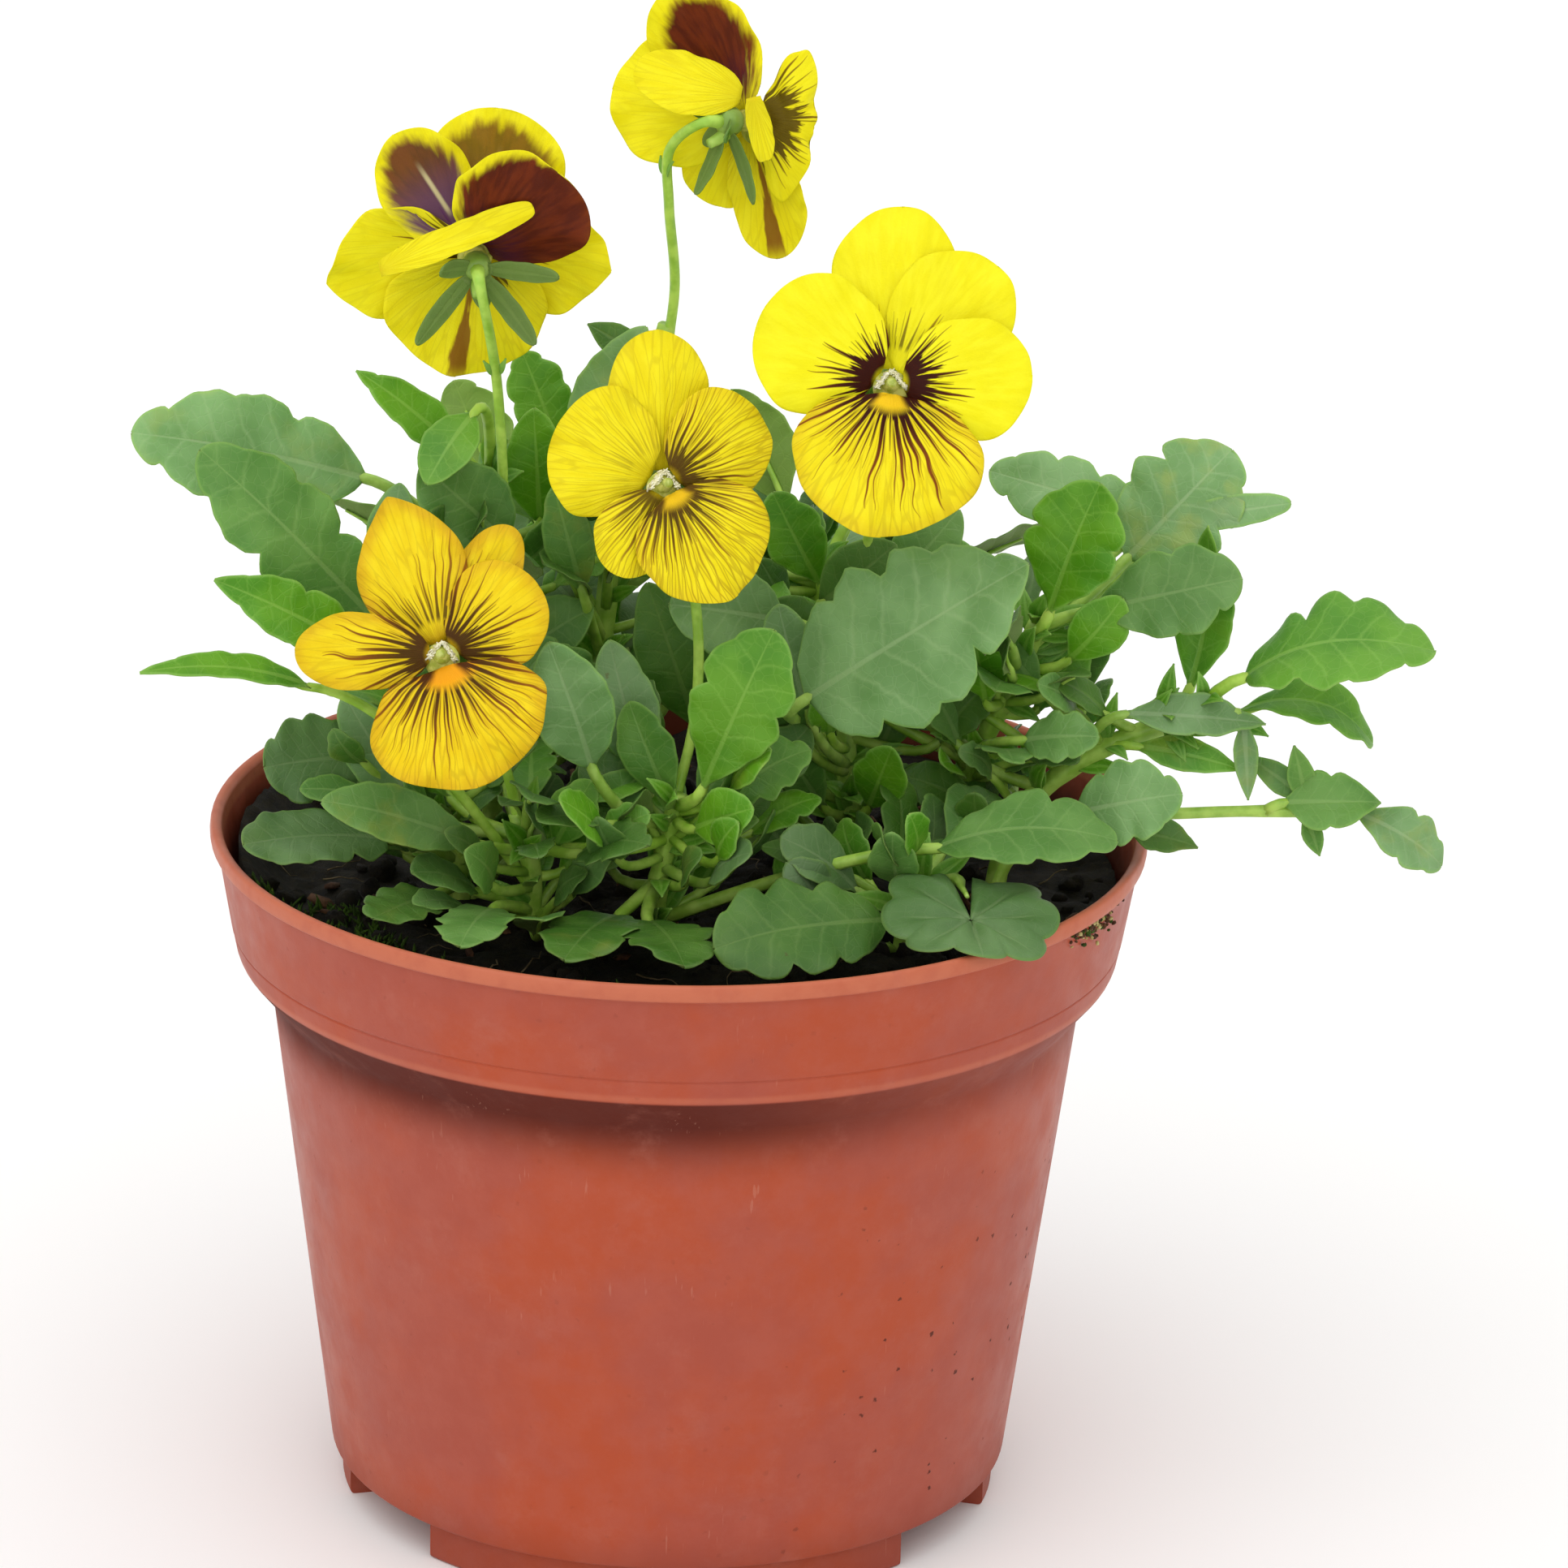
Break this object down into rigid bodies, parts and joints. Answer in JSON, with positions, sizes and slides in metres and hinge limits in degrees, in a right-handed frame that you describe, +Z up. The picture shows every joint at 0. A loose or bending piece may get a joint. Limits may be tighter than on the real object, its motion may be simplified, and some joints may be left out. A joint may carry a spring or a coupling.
{
  "type": "potted pansy plant",
  "caption": "Yellow pansy plant with toothed green leaves and long-stalked blooms, growing in dark potting soil in a round, tapered terracotta-coloured plastic pot.",
  "frame": {"origin": "centre of the pot's underside, which stands on z = 0", "axes": "+Z up along the pot's axis; -Y towards the front of the plant, where most blooms look; +X to the right as seen from the front"},
  "size_m": [0.1806, 0.13, 0.2138],
  "materials": {
    "terracotta_plastic": "satin moulded plastic, terracotta-coloured",
    "soil": "dark, crumbly peat and bark compost",
    "leaf_green": "living leaf, soft sheen",
    "petal_yellow": "living petal, velvety"
  },
  "bodies": {
    "root": {"pot": "terracotta_plastic", "potting_soil": "soil", "stem_front": "leaf_green", "stem_front_left": "leaf_green", "stem_left": "leaf_green", "stem_upper_left": "leaf_green", "stem_tall_middle": "leaf_green", "stem_centre_right": "leaf_green", "stem_right": "leaf_green", "stem_far_right": "leaf_green", "stem_trailing": "leaf_green", "stem_front_right": "leaf_green", "stem_back_left": "leaf_green", "stem_back_right": "leaf_green", "bloom_top_left": "petal_yellow", "bloom_top": "petal_yellow", "bloom_right": "petal_yellow", "bloom_middle": "petal_yellow", "bloom_front_left": "petal_yellow"}
  },
  "joints": []
}
